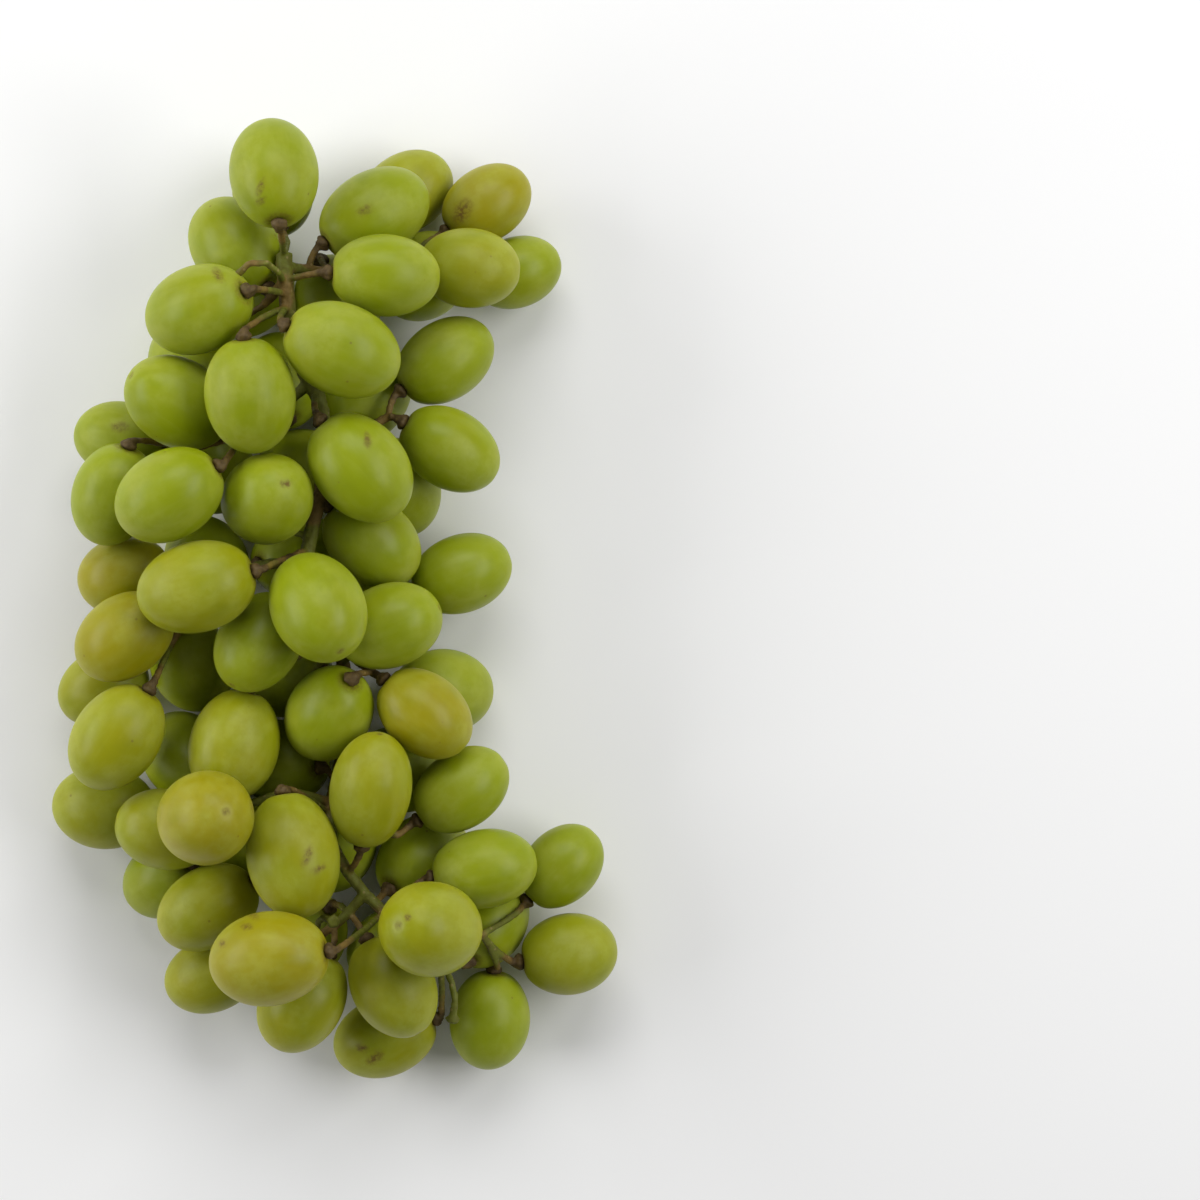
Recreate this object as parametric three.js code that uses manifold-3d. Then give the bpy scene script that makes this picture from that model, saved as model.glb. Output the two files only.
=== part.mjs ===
// A bunch of seedless table grapes, lying on its side as cut: oval berries on a branched stem.
// Millimetres, +Z up. The bunch lies along Y on the plane z = 0, and its hollow side faces +X.

import * as THREE from 'three';
import { mergeVertices } from 'three/addons/utils/BufferGeometryUtils.js';
import Module from 'manifold-3d';

const wasm = await Module();
wasm.setup();

// ---- Driving dimensions ------------------------------------------------------------------

const SPREAD_LENGTH = 171.4; // along Y, between the centres of the outermost berries
const SPREAD_WIDTH = 94.8; // along X, between the centres of the outermost berries
const SPREAD_HEIGHT = 34; // from the centres of the lowest berries up to the highest
const BERRY_WIDTH = 17.9; // across a middling berry
const BERRY_LENGTH = 23.2; // a middling berry, stem end to blossom end
const BERRY_GAP = 0.4; // between neighbouring berries
const DIMPLE_WIDTH = 5.2; // hollow at the stem end of a berry
const DIMPLE_DEPTH = 0.6;
const RACHIS_DIAMETER = 3.4; // main stem at its cut end
const RACHIS_TIP_DIAMETER = 2.2;
const LATERAL_DIAMETER = 2.3; // side branch where it leaves the main stem
const LATERAL_TIP_DIAMETER = 1.7;
const PEDICEL_DIAMETER = 1.4; // the little stalk of one berry
const CAP_DIAMETER = 3.2; // the warty disc at the end of a stalk, which a berry sits on
const CAP_HEIGHT = 1.5;
const STEM_GAP = 0.3; // between a stem and the berries pressed on it
const SEAT_GAP = 0.36; // between a cap and its own berry
const NECK_DIAMETER = 5; // where berries of one hidden cluster grow into each other

const BERRY_SIDES = 8;
const BERRY_RINGS = 6;
const STEM_SIDES = 6;
const PEDICEL_SIDES = 5;
const RACHIS_STEPS = 26;
const LATERAL_STEPS = 7;
const PEDICEL_STEP = 4; // mm of a stalk between two of its rings
const FRAME_STEPS = 24; // where the turn of a stalk's rings is worked out, along it
const SHOULDER_SHARE = 1.15; // a stalk just under its cap, to the stalk
const CAP_TOP_SHARE = 0.8; // a cap's top, to its widest
const CAP_EDGE_SHARE = 1 / 3; // of a cap's height, from its top down to its widest
const MERGE_DISTANCE = 1e-5;
const LEAST_GROOVE = 0.01; // mm³ that a stem has to press into a berry to leave a groove

const HIDDEN_SIZE = 0.97; // of a hidden berry, to a middling one
const HIDDEN_RISE = 40; // degrees that the stem end of a hidden berry rises towards its branch
const HIDDEN_EASE = 1; // how easily a hidden berry gives way to its neighbours
const SHOWN_EASE = 0.35; // and one on the outside
const STEM_PUSH = 0.7; // share of the way off a stem that a berry moves in one pass
const SETTLING_PASSES = 320;
const HOMING = 0.12; // share of the way home that a berry moves in the first pass
const HOMING_PASSES = 240; // after which the berries only press apart
const BEAD_SPACING = 3; // between the points of a stem that berries are pushed off
const ROUTING_PASSES = 60;
const ROUTE_POINTS = 8; // along a stalk while it finds its way
const ROUTE_SMOOTHING = 0.3;
const CURVE_SAMPLES = 60; // where the nearest point of a curve is looked for, along it

// ---- Layout ------------------------------------------------------------------------------

// The places below are drawn for these spreads, and placed() stretches them to the spreads above.
// Their third number is a level: 0 for a berry on the ground, 1 for the top of the stack.
const DRAWN_LENGTH = 171.4;
const DRAWN_WIDTH = 94.8;

const RACHIS = [
  [-8.2, 69, 0.7], [-8, 65, 0.71], [-7.5, 58, 0.7], [-5, 47, 0.56], [-1, 38, 0.48],
  [-1, 24, 0.48], [-4, 9, 0.5], [0, -6, 0.34], [3, -16, 0.1], [3, -25, 0.06], [1, -36, 0.14],
  [0, -43, 0.34], [1, -50, 0.44],
  [9, -61, 0.45], [17, -67.5, 0.44], [22, -71, 0.42],
];

// Each arm is a side branch. path runs outward from the main stem. A berry is
// [x, y, level, width, length, bearing, rise]: its width and length are shares of a middling
// berry's, and bearing and rise, in degrees, say where its stem end points. The hidden berries
// of an arm are [x, y, level, size], point at their branch and are joined in one cluster.
const ARMS = [
  {
    name: 'crown_left',
    path: [[-8, 64, 0.7], [-10, 61.5, 0.66], [-12.5, 59, 0.62]],
    berries: [
      [-9.4, 84, 0.95, 0.98, 1.0, -82, 25],
      [-17.5, 67, 0.4, 0.98, 0.98, -52, 20],
      [-24.2, 56.4, 0.8, 0.97, 1.02, 18, 28],
    ],
    hidden: [[-12.5, 83.5, 0.12, 0.92], [-9, 65, 0.0]],
  },
  {
    name: 'crown_right',
    path: [[-8, 67, 0.7], [-1, 66, 0.52], [8, 65.5, 0.42], [14, 67.5, 0.42]],
    berries: [
      [16.5, 82, 0.0, 0.9, 0.9, 214, 5],
      [9.8, 76.6, 0.48, 0.97, 1.04, 212, 14],
      [28, 78, 0.05, 0.84, 0.86, 215, 5],
      [12, 63.4, 0.75, 0.92, 0.95, 178, 8],
      [26.5, 66.4, 0.5, 0.9, 0.9, 175, 0],
      [33, 68.5, 0.0, 0.82, 0.82, 200, 5],
      [4.8, 52, 1.0, 1.02, 1.04, 157, 15],
    ],
    hidden: [[11, 63, 0.0], [20.5, 74, 0.0]],
  },
  {
    name: 'upper_left',
    path: [[-3, 43, 0.52], [-14, 35, 0.45], [-28, 30.5, 0.45]],
    berries: [
      [-28.6, 40.6, 0.67, 1.0, 1.0, -30, -30],
      [-13.6, 40.2, 1.0, 1.0, 1.0, 95, 12],
      [-40.5, 32.5, 0.15, 0.86, 0.84, -8, 5],
      [-42.8, 20.8, 0.55, 0.92, 0.92, 70, 15],
      [-29.2, 20.6, 0.97, 0.99, 0.98, 30, 5],
      [-12, 20.4, 0.8, 1.0, 1.0, 212, -64],
    ],
    hidden: [[-22, 29, 0.0], [-28, 46, 0.0], [-10, 46, 0.0]],
  },
  {
    name: 'upper_right',
    path: [[-1, 33, 0.48], [6, 34, 0.42], [12, 37, 0.42]],
    berries: [
      [7.2, 26.2, 0.8, 1.03, 1.04, 130, 5],
      [7.5, 43, 0.1, 0.95, 0.95, 240, 5],
      [22, 48, 0.3, 0.9, 0.94, 215, 10],
      [21, 29, 0.3, 0.9, 0.94, 150, 10],
      [10.5, 10.4, 0.35, 0.95, 0.95, 140, 10],
    ],
    hidden: [[9, 24, 0.0], [-9, 27, 0.0]],
  },
  {
    name: 'middle_left',
    path: [[-4, 8, 0.5], [-14, 7, 0.44], [-27, -1, 0.42], [-32, -9, 0.42]],
    berries: [
      [-41, 5, 0.3, 0.88, 0.84, 15, 5],
      [-24.6, 2.6, 0.95, 1.01, 1.04, 15, 5],
      [-40.2, -8, 0.6, 0.92, 0.94, 35, 10],
      [-46.5, -17.5, 0.05, 0.86, 0.86, 30, 5],
      [-42.2, -26, 0.6, 0.98, 1.0, 55, 5],
    ],
    hidden: [[-24, 11, 0.0], [-7, 8, 0.0], [-30, -16, 0.1]],
  },
  {
    name: 'middle_right',
    path: [[2, -9, 0.38], [6, -12.5, 0.4], [9.5, -15, 0.42]],
    berries: [
      [-3.2, -4.6, 1.0, 1.05, 1.05, 120, -35],
      [-10.6, -11.4, 0.66, 0.93, 0.95, 60, -25],
      [10.4, -7, 0.5, 0.95, 0.96, 200, -10],
      [14.4, -23, 0.45, 0.9, 0.92, 140, 0],
      [22.5, 5, 0.15, 0.9, 0.92, 200, 5],
      [-16, -29.4, 0.45, 1.02, 1.0, 75, 0],
    ],
    hidden: [[9, -1, 0.0], [4.5, -22, 0.42], [22, -21, 0.0], [-11, -18, 0.0]],
  },
  {
    name: 'lower_left',
    path: [[0, -37, 0.46], [-8, -39, 0.43], [-15.5, -41, 0.42]],
    berries: [
      [-23, -40.8, 1.0, 1.04, 1.02, 200, -62],
      [-46, -43, 0.08, 0.96, 0.93, -5, 5],
      [-30.5, -46.5, 0.3, 0.92, 0.9, -10, -10],
      [-24, -60, 0.32, 0.92, 0.95, 30, 5],
    ],
    hidden: [[-25, -31, 0.0], [-15, -50, 0.0], [-33, -52, 0.0, 0.86]],
  },
  {
    name: 'lower_right',
    path: [[0, -42, 0.46], [7, -45, 0.42], [14, -47.5, 0.42]],
    berries: [
      [-4, -50, 0.72, 1.04, 1.1, 100, -8],
      [7.6, -38.6, 0.52, 0.92, 1.04, 260, -15],
      [24, -40, 0.3, 0.88, 0.92, 215, 0],
      [29, -53, 0.2, 0.9, 0.94, 190, 0],
    ],
    hidden: [[-5, -35, 0.0], [13, -37, 0.0], [-4, -52, 0.0], [11, -56, 0.0]],
  },
  {
    name: 'tail_left',
    path: [[7, -59, 0.45], [2, -65, 0.42], [-3, -68.5, 0.42]],
    berries: [
      [-10, -69.8, 1.0, 1.04, 1.04, 8, 10],
      [-21.5, -75.5, 0.1, 0.86, 0.88, 20, 5],
      [-4.4, -80.6, 0.48, 0.95, 0.95, 60, 0],
      [13.4, -75.8, 0.45, 0.94, 0.94, 120, -10],
      [10.4, -86.6, 0.0, 0.92, 0.95, 20, 5],
      [-5, -66, 0.0, 0.97, 0.97, 50, 35],
    ],
    hidden: [],
  },
  {
    name: 'tail_right',
    path: [[19, -69, 0.45], [26, -69, 0.42], [31, -67.5, 0.42]],
    berries: [
      [21.4, -64.8, 1.0, 1.06, 1.04, -16, -60],
      [31.6, -82.5, 0.05, 0.93, 0.9, 85, 8],
      [46, -71.4, 0.1, 0.94, 0.87, 188, 8],
      [44.5, -55.5, 0.1, 0.84, 0.84, 225, 0],
    ],
    hidden: [[15, -72, 0.0], [32, -65, 0.0]],
  },
];

// Stalks that have lost their berry: [x, y, level] from the branch to the cap.
const BARE_PEDICELS = [
  [[-8, 62.2, 0.72], [-8.8, 64.8, 0.93], [-11.8, 66.6, 1.0], [-15.2, 65.6, 0.98], [-17.4, 63, 0.92]],
  [[-11, -61, 0.5], [-1, -63.6, 0.62], [2, -64, 0.75]],
  [[24, -72, 0.45], [25.5, -79, 0.5], [25, -85, 0.45]],
];

const placed = ([x, y, level]) =>
  new THREE.Vector3(
    x * (SPREAD_WIDTH / DRAWN_WIDTH),
    y * (SPREAD_LENGTH / DRAWN_LENGTH),
    BERRY_WIDTH / 2 + level * SPREAD_HEIGHT
  );

const curveThrough = (points) => new THREE.CatmullRomCurve3(points, false, 'centripetal');

// ---- Solids ------------------------------------------------------------------------------

/** A closed three.js geometry as a manifold-3d solid. */
function solidOf(geometry) {
  const bare = geometry.clone();
  bare.deleteAttribute('normal');
  bare.deleteAttribute('uv');
  const merged = mergeVertices(bare, MERGE_DISTANCE);
  const corners = merged.index.array;
  const kept = [];
  for (let i = 0; i < corners.length; i += 3) {
    const [a, b, c] = corners.slice(i, i + 3);
    if (a !== b && b !== c && c !== a) kept.push(a, b, c);
  }
  return new wasm.Manifold(
    new wasm.Mesh({
      numProp: 3,
      vertProperties: new Float32Array(merged.attributes.position.array),
      triVerts: new Uint32Array(kept),
    })
  );
}

/** A manifold-3d solid as a three.js geometry. */
function geometryOf(solid) {
  const { vertProperties, triVerts, numProp } = solid.getMesh();
  const places = [];
  for (let i = 0; i < vertProperties.length; i += numProp) places.push(...vertProperties.slice(i, i + 3));
  const geometry = new THREE.BufferGeometry();
  geometry.setAttribute('position', new THREE.Float32BufferAttribute(places, 3));
  geometry.setIndex([...triVerts]);
  geometry.computeVertexNormals();
  return geometry;
}

const union = (solids) => wasm.Manifold.union(solids);

/** A turned profile, [radius, height] from bottom to top and starting and ending on the axis. */
function turned(profile, sides) {
  return new THREE.LatheGeometry(profile.map(([r, h]) => new THREE.Vector2(r, h)), sides);
}

/** Bends a turned piece that stands on its Y axis, height tall, along a curve. */
function bentAlong(curve, geometry, height, steps) {
  const frames = curve.computeFrenetFrames(steps, false);
  const places = geometry.attributes.position;
  const place = new THREE.Vector3();
  for (let i = 0; i < places.count; i += 1) {
    const share = THREE.MathUtils.clamp(places.getY(i) / height, 0, 1);
    const step = Math.round(share * steps);
    curve.getPointAt(share, place);
    place.addScaledVector(frames.tangents[step], places.getY(i) - share * height);
    place.addScaledVector(frames.normals[step], places.getZ(i));
    place.addScaledVector(frames.binormals[step], places.getX(i));
    places.setXYZ(i, place.x, place.y, place.z);
  }
  return solidOf(geometry);
}

/** The corner radius of a round stem, or of the room it needs: a flat of the room clears by extra. */
const cornerRadius = (radius, sides, extra) =>
  extra > 0 ? (radius + extra) / Math.cos(Math.PI / sides) : radius;

/** A round branch along a curve, tapering from its root to its tip. */
function branch({ curve, radius: rootRadius, tipRadius }, steps, extra) {
  const length = curve.getLength();
  const profile = [[0, -extra]];
  for (let i = 0; i <= steps; i += 1) {
    const radius = THREE.MathUtils.lerp(rootRadius, tipRadius, i / steps);
    profile.push([cornerRadius(radius, STEM_SIDES, extra), (i / steps) * length]);
  }
  profile[1][1] = -extra;
  profile[profile.length - 1][1] = length + extra;
  profile.push([0, length + extra]);
  return bentAlong(curve, turned(profile, STEM_SIDES), length, steps);
}

/** A berry's stalk along a curve, with the cap at its far end. */
function pedicel(curve, extra) {
  const length = curve.getLength();
  const stalk = cornerRadius(PEDICEL_DIAMETER / 2, PEDICEL_SIDES, extra);
  const cap = cornerRadius(CAP_DIAMETER / 2, PEDICEL_SIDES, extra);
  const steps = Math.max(2, Math.round(length / PEDICEL_STEP));
  const profile = [[0, -extra], [stalk, -extra]];
  for (let i = 1; i < steps; i += 1) profile.push([stalk, ((length - CAP_HEIGHT) * i) / steps]);
  profile.push([stalk * SHOULDER_SHARE, length - CAP_HEIGHT]);
  profile.push([cap, length - CAP_HEIGHT * CAP_EDGE_SHARE], [cap * CAP_TOP_SHARE, length + extra]);
  profile.push([0, length + extra]);
  return bentAlong(curve, turned(profile, PEDICEL_SIDES), length, FRAME_STEPS);
}

// ---- Berries -----------------------------------------------------------------------------

const UP = new THREE.Vector3(0, 1, 0);

/** Where a berry sits, how easily its neighbours push it, its half sizes and its stem end. */
function berryAt(centre, width, length, pole, ease) {
  return {
    home: centre.clone(),
    centre,
    ease,
    pole,
    halfWidth: (width * BERRY_WIDTH) / 2,
    halfLength: (length * BERRY_LENGTH) / 2,
  };
}

/** The direction at a bearing from +X and a rise above the ground, in degrees. */
function direction(bearing, rise) {
  const [turn, lift] = [bearing, rise].map(THREE.MathUtils.degToRad);
  return new THREE.Vector3(
    Math.cos(lift) * Math.cos(turn),
    Math.cos(lift) * Math.sin(turn),
    Math.sin(lift)
  );
}

/** Height on the axis, from the centre, of the rim of the hollow at the stem end. */
const rimHeight = ({ halfWidth, halfLength }) =>
  halfLength * Math.sqrt(1 - (DIMPLE_WIDTH / 2 / halfWidth) ** 2);

/** An oval berry along Y about its centre, with the hollow of its stem end on top. */
function berryGeometry(berry) {
  const rim = Math.asin(DIMPLE_WIDTH / 2 / berry.halfWidth);
  const profile = [[0, -berry.halfLength]];
  for (let i = 1; i <= BERRY_RINGS; i += 1) {
    const angle = ((Math.PI - rim) * i) / BERRY_RINGS;
    profile.push([berry.halfWidth * Math.sin(angle), -berry.halfLength * Math.cos(angle)]);
  }
  profile.push([0, rimHeight(berry) - DIMPLE_DEPTH]);
  return turned(profile, BERRY_SIDES);
}

/** The turn and shift that put a berry's geometry in its place. */
function placement(berry) {
  const turn = new THREE.Quaternion().setFromUnitVectors(UP, berry.pole);
  return new THREE.Matrix4().compose(berry.centre, turn, new THREE.Vector3(1, 1, 1));
}

/** The symmetric matrix of a berry's oval, swollen by a margin: x is inside if x·M⁻¹x < 1. */
function ovalMatrix(berry, margin) {
  const { x, y, z } = berry.pole;
  const across = (berry.halfWidth + margin) ** 2;
  const along = (berry.halfLength + margin) ** 2 - across;
  return new THREE.Matrix3().set(
    across + along * x * x, along * x * y, along * x * z,
    along * x * y, across + along * y * y, along * y * z,
    along * x * z, along * y * z, across + along * z * z
  );
}

/** How far, and which way, the second of two berries has to move to come clear of the first. */
function pushBetween(one, two) {
  const apart = two.centre.clone().sub(one.centre);
  const reach = one.halfLength + two.halfLength + BERRY_GAP;
  if (apart.length() > reach) return null;
  const margin = BERRY_GAP / 2;
  const first = ovalMatrix(one, margin).elements;
  const second = ovalMatrix(two, margin).elements;
  const both = new THREE.Matrix3();
  both.elements = first.map((value, i) => 2 * (value + second[i]));
  const facing = apart.clone().applyMatrix3(both.invert());
  const closeness = Math.sqrt(apart.dot(facing));
  if (closeness >= 1) return null;
  facing.normalize();
  return facing.multiplyScalar((1 / closeness - 1) * apart.dot(facing));
}

/** How far a point has to move to come clear of a berry that is swollen by a margin. */
function pushOut(point, berry, margin) {
  const from = point.clone().sub(berry.centre);
  if (from.length() > berry.halfLength + margin) return null;
  const facing = from.clone().applyMatrix3(ovalMatrix(berry, margin).invert());
  const closeness = Math.sqrt(from.dot(facing));
  if (closeness >= 1) return null;
  facing.normalize();
  return facing.multiplyScalar((1 / closeness - 1) * from.dot(facing));
}

/** Height of a berry's centre when it rests on the ground. */
function restingHeight(berry) {
  return Math.sqrt(ovalMatrix(berry, 0).elements[8]);
}

/** Presses the berries apart, off the stems and onto the ground, each as near home as it can be. */
function settle(berries, stems) {
  const beads = stems.flatMap(({ curve, radius }) =>
    curve.getSpacedPoints(Math.ceil(curve.getLength() / BEAD_SPACING)).map((centre) => ({ centre, radius }))
  );
  const top = BERRY_WIDTH + SPREAD_HEIGHT;
  for (let pass = 0; pass < SETTLING_PASSES; pass += 1) {
    const homing = HOMING * Math.max(0, 1 - pass / HOMING_PASSES);
    for (const berry of berries) berry.centre.lerp(berry.home, homing);
    for (let i = 0; i < berries.length; i += 1) {
      for (let j = i + 1; j < berries.length; j += 1) {
        const push = pushBetween(berries[i], berries[j]);
        if (push === null) continue;
        const share = berries[i].ease / (berries[i].ease + berries[j].ease);
        berries[i].centre.addScaledVector(push, -share);
        berries[j].centre.addScaledVector(push, 1 - share);
      }
    }
    for (const berry of berries) {
      for (const bead of beads) {
        const push = pushOut(bead.centre, berry, bead.radius + STEM_GAP);
        if (push !== null) berry.centre.addScaledVector(push, -STEM_PUSH);
      }
      const rest = restingHeight(berry);
      berry.centre.z = THREE.MathUtils.clamp(berry.centre.z, rest, top - rest);
    }
  }
}

// ---- Stems -------------------------------------------------------------------------------

const rachis = {
  curve: curveThrough(RACHIS.map(placed)),
  radius: RACHIS_DIAMETER / 2,
  tipRadius: RACHIS_TIP_DIAMETER / 2,
};
const laterals = ARMS.map(({ path }) => ({
  curve: rootedCurve(path, [rachis.curve]),
  radius: LATERAL_DIAMETER / 2,
  tipRadius: LATERAL_TIP_DIAMETER / 2,
}));
const stems = [rachis, ...laterals];

/** The point of some curves that is nearest to a place. */
function nearestOn(curves, place) {
  const points = curves.flatMap((curve) => curve.getSpacedPoints(CURVE_SAMPLES));
  return points.reduce((best, point) =>
    point.distanceTo(place) < best.distanceTo(place) ? point : best
  );
}

/** A curve through places, whose first point is moved onto the nearest of some other curves. */
function rootedCurve(places, curves) {
  const [first, ...others] = places.map(placed);
  return curveThrough([nearestOn(curves, first), ...others]);
}

/** The stalk of a berry: from its branch, between the other berries, to its cap. */
function pedicelCurve(berry, curves, berries) {
  const seat = berry.centre.clone().addScaledVector(berry.pole, rimHeight(berry) + SEAT_GAP);
  const neck = seat.clone().addScaledVector(berry.pole, CAP_HEIGHT);
  const lead = neck.clone().addScaledVector(berry.pole, 2 * PEDICEL_DIAMETER);
  const root = nearestOn(curves, lead);
  const count = ROUTE_POINTS;
  const points = Array.from({ length: count + 1 }, (_, i) => root.clone().lerp(lead, i / count));
  const margin = PEDICEL_DIAMETER / 2 + STEM_GAP;
  const highest = BERRY_WIDTH / 2 + SPREAD_HEIGHT;
  for (let pass = 0; pass < ROUTING_PASSES; pass += 1) {
    for (let i = 1; i <= count; i += 1) {
      const next = i < count ? points[i + 1] : neck;
      const middle = points[i - 1].clone().add(next).multiplyScalar(0.5);
      points[i].lerp(middle, ROUTE_SMOOTHING);
      for (const other of berries) {
        const push = pushOut(points[i], other, margin);
        if (push !== null) points[i].add(push);
      }
      points[i].z = Math.max(Math.min(points[i].z, highest), margin);
    }
  }
  return curveThrough([...points.filter((_, i) => i % 2 === 0), neck, seat]);
}

/** Every stem as one solid, each thicker all round by extra. */
function skeleton(stalks, extra) {
  return union([
    branch(rachis, RACHIS_STEPS, extra),
    ...laterals.map((lateral) => branch(lateral, LATERAL_STEPS, extra)),
    ...stalks.map((curve) => pedicel(curve, extra)),
  ]);
}

// ---- Assembly ----------------------------------------------------------------------------

const grapeMaterial = new THREE.MeshStandardMaterial({ color: 0x9ba63c, roughness: 0.38, metalness: 0 });
const stemMaterial = new THREE.MeshStandardMaterial({ color: 0x6b5a1e, roughness: 0.75, metalness: 0 });

const shown = [];
const clusters = [];
ARMS.forEach((arm, index) => {
  const curves = [laterals[index].curve, rachis.curve];
  arm.berries.forEach(([x, y, level, width, length, bearing, rise], i) => {
    const berry = berryAt(placed([x, y, level]), width, length, direction(bearing, rise), SHOWN_EASE);
    shown.push({ name: `${arm.name}_berry_${i + 1}`, berry, curves });
  });
  const members = arm.hidden.map(([x, y, level, share = HIDDEN_SIZE]) => {
    const centre = placed([x, y, level]);
    const towards = nearestOn(curves, centre).sub(centre);
    const bearing = THREE.MathUtils.radToDeg(Math.atan2(towards.y, towards.x));
    const pole = direction(bearing, HIDDEN_RISE);
    return { berry: berryAt(centre, share, share, pole, HIDDEN_EASE), curves };
  });
  if (members.length > 0) clusters.push({ name: `${arm.name}_under_berries`, members });
});

const everyOne = [...shown, ...clusters.flatMap(({ members }) => members)];
const berries = everyOne.map(({ berry }) => berry);
settle(berries, stems);

const stalks = [
  ...everyOne.map(({ berry, curves }) => pedicelCurve(berry, curves, berries)),
  ...BARE_PEDICELS.map((places) => rootedCurve(places, stems.map(({ curve }) => curve))),
];
const stem = skeleton(stalks, 0);
const stemRoom = union([stem, skeleton(stalks, STEM_GAP)]);

/** A berry's solid about its own centre, grooved where a stem presses into it. */
function berrySolid(berry) {
  const whole = solidOf(berryGeometry(berry));
  const room = stemRoom.transform([...placement(berry).invert().elements]);
  const grooved = whole.subtract(room);
  return whole.volume() - grooved.volume() > LEAST_GROOVE ? grooved : whole;
}

/** A neck that joins two neighbouring berries of a hidden cluster, centre to centre. */
function neckBetween(one, two) {
  const apart = two.centre.clone().sub(one.centre);
  const radius = NECK_DIAMETER / 2;
  const geometry = new THREE.CylinderGeometry(radius, radius, apart.length(), STEM_SIDES);
  const middle = one.centre.clone().addScaledVector(apart, 0.5);
  const turn = new THREE.Quaternion().setFromUnitVectors(UP, apart.normalize());
  geometry.applyMatrix4(new THREE.Matrix4().compose(middle, turn, new THREE.Vector3(1, 1, 1)));
  return solidOf(geometry).subtract(stemRoom);
}

/** The berries of one hidden cluster, each joined to the nearest of those before it. */
function clusterSolid(members) {
  const solids = members.map(({ berry }) => berrySolid(berry).transform([...placement(berry).elements]));
  for (let i = 1; i < members.length; i += 1) {
    const { berry } = members[i];
    const nearest = members.slice(0, i).reduce((best, other) =>
      other.berry.centre.distanceTo(berry.centre) < best.berry.centre.distanceTo(berry.centre) ? other : best
    );
    solids.push(neckBetween(nearest.berry, berry));
  }
  return union(solids);
}

const bunch = new THREE.Group();

function addPiece(name, geometry, material) {
  const mesh = new THREE.Mesh(geometry, material.clone());
  mesh.name = name;
  bunch.add(mesh);
  return mesh;
}

addPiece('stem', geometryOf(stem), stemMaterial);
for (const { name, berry } of shown) {
  const mesh = addPiece(name, geometryOf(berrySolid(berry)), grapeMaterial);
  mesh.applyMatrix4(placement(berry));
}
for (const { name, members } of clusters) {
  addPiece(name, geometryOf(clusterSolid(members)), grapeMaterial);
}

// The origin is under the middle of the bunch, on the ground.
const box = new THREE.Box3().setFromObject(bunch, true);
const middle = box.getCenter(new THREE.Vector3());
bunch.position.set(-middle.x, -middle.y, -box.min.z);

export default bunch;
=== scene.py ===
"""A bunch of oval, seedless table grapes that lies on its side, as cut from the vine.

Each berry is worked out anew from the oval that its node in the frame holds, and the stem is
grown from the frame's stem node. Metres, +Z up. The bunch lies along Y on the floor z = 0.
"""
import logging
import math
from dataclasses import dataclass, field
from enum import Enum
from typing import Iterable, Sequence

import bpy
import numpy as np
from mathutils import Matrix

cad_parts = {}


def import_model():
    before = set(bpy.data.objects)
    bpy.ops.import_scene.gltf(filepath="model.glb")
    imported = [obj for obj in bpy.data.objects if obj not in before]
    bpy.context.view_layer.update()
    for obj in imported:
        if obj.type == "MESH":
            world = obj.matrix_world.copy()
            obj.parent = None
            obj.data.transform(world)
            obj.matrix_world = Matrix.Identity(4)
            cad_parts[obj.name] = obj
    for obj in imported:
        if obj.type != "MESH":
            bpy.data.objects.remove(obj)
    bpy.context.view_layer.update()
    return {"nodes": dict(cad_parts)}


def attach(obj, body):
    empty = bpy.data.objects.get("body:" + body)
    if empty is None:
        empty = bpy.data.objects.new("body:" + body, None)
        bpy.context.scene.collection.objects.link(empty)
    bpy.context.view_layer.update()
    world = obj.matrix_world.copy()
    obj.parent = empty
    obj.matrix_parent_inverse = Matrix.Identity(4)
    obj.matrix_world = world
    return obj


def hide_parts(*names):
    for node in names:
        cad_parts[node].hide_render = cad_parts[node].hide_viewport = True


LOG = logging.getLogger("grapes")
MM = 0.001
BERRY_SIZE = 10.0 * MM  # about half of a berry, which keeps the fitting sums near 1
UP = np.array([0.0, 0.0, 1.0])

HANDFUL = 9  # points that settle one surface
CLOSE = 0.01  # how near to a surface a point on it is, as a share of the surface's size
ROOTS = (0.6, 1.95)  # the roots of a form that has a berry's size, in units of BERRY_SIZE
HOLLOW_SHARE = 0.957  # height of a solid's stem end, before its hollow, to its half length
HOLLOW_DEPTH = 0.6 * MM
FIT_SEED = 5


# ---- Meshes from arrays ------------------------------------------------------------------


def smoothstep(low: float, high: float, value: np.ndarray) -> np.ndarray:
    """A ramp from 0 at low to 1 at high, with level ends.

    Args:
        low: where the ramp starts.
        high: where it ends.
        value: the places to work it out at.

    Returns:
        The ramp at each place.
    """
    share = np.clip((value - low) / (high - low), 0.0, 1.0)
    return share * share * (3.0 - 2.0 * share)


def across_axes(axis: np.ndarray) -> tuple[np.ndarray, np.ndarray]:
    """Two unit directions that are square to an axis and to each other.

    Args:
        axis: the unit direction.

    Returns:
        The two directions, which make a right-handed set with the axis.
    """
    helper = UP if abs(axis[2]) < 0.9 else np.array([1.0, 0.0, 0.0])
    first = np.cross(helper, axis)
    first /= np.linalg.norm(first)
    return first, np.cross(axis, first)


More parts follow.
